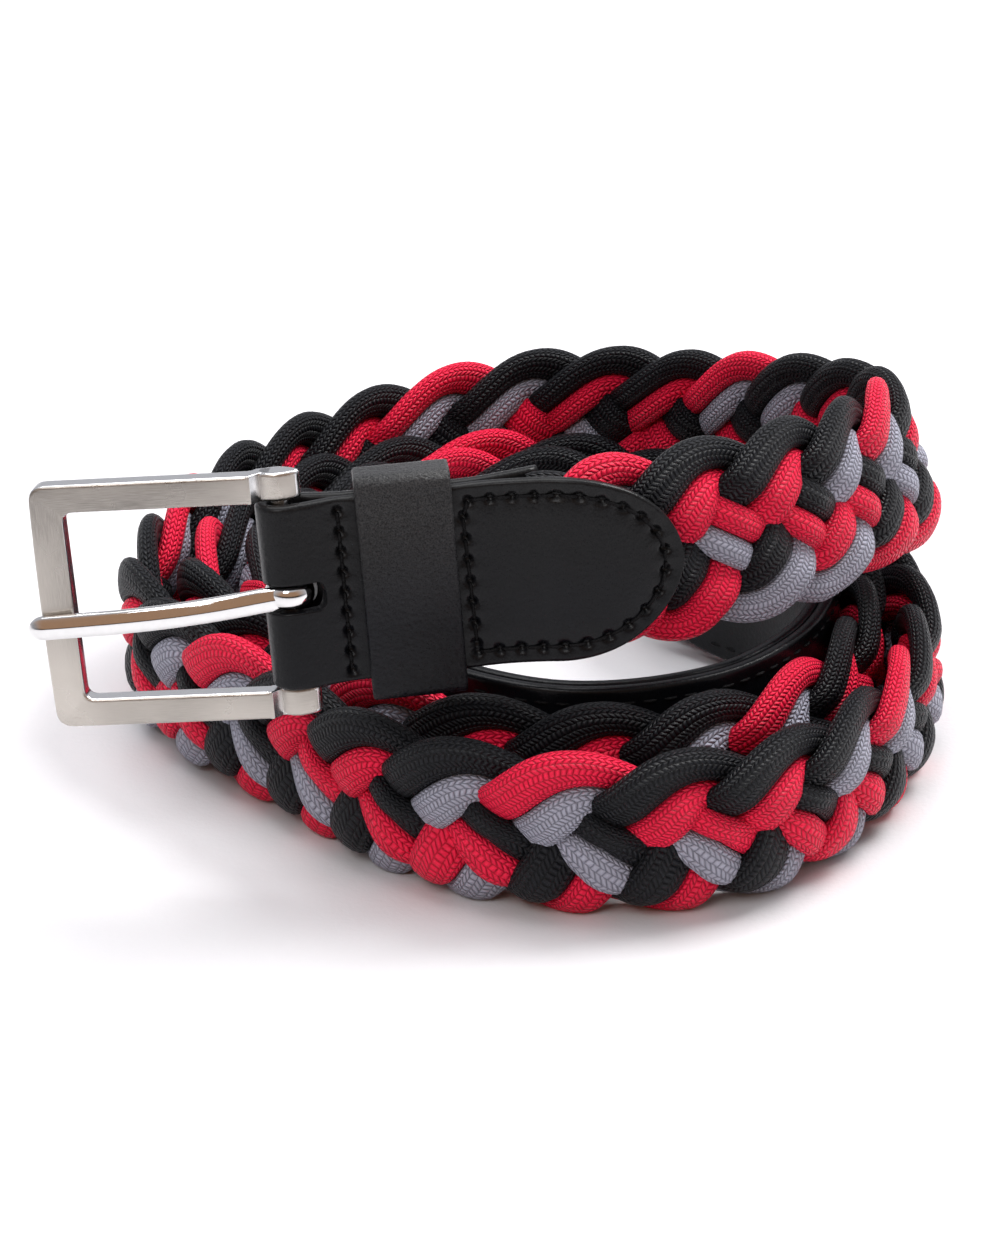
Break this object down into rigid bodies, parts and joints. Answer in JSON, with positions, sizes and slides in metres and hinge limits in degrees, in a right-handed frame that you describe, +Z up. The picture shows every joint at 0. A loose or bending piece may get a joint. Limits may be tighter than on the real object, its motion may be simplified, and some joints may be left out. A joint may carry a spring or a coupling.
{
  "type": "braided belt",
  "caption": "Braided two-tone cord belt with black leather ends, a keeper and a rectangular metal buckle, lying unfastened in a loose coil.",
  "frame": {"origin": "centre of the bounding box's base, on the surface that the belt lies on", "axes": "+Z up, -Y towards the side with the buckle and the chape, +X towards the right, where the upper turn goes round to the back"},
  "size_m": [0.1652, 0.1614, 0.0781],
  "materials": {
    "cord": "braided nylon cord in black, red and grey",
    "leather": "smooth black leather, semi-matt",
    "keeper_leather": "pebbled black leather",
    "brushed_metal": "brushed nickel plate",
    "chrome": "polished"
  },
  "bodies": {
    "belt": {"chape": "leather", "keeper": "keeper_leather", "braid": "cord", "billet": "leather"},
    "frame": {"buckle_frame": "brushed_metal"},
    "tongue": {"buckle_tongue": "chrome"}
  },
  "joints": [
    {"name": "frame_hinge", "type": "hinge", "parent": "belt", "child": "frame", "pos_m": [-0.03798, -0.06051, 0.05509], "axis": [-0.0799, 0.0801, 0.9936], "range_deg": [0, 45]},
    {"name": "tongue_hinge", "type": "hinge", "parent": "frame", "child": "tongue", "pos_m": [-0.03798, -0.06051, 0.05509], "axis": [-0.0799, 0.0801, 0.9936], "range_deg": [0, 70]}
  ]
}
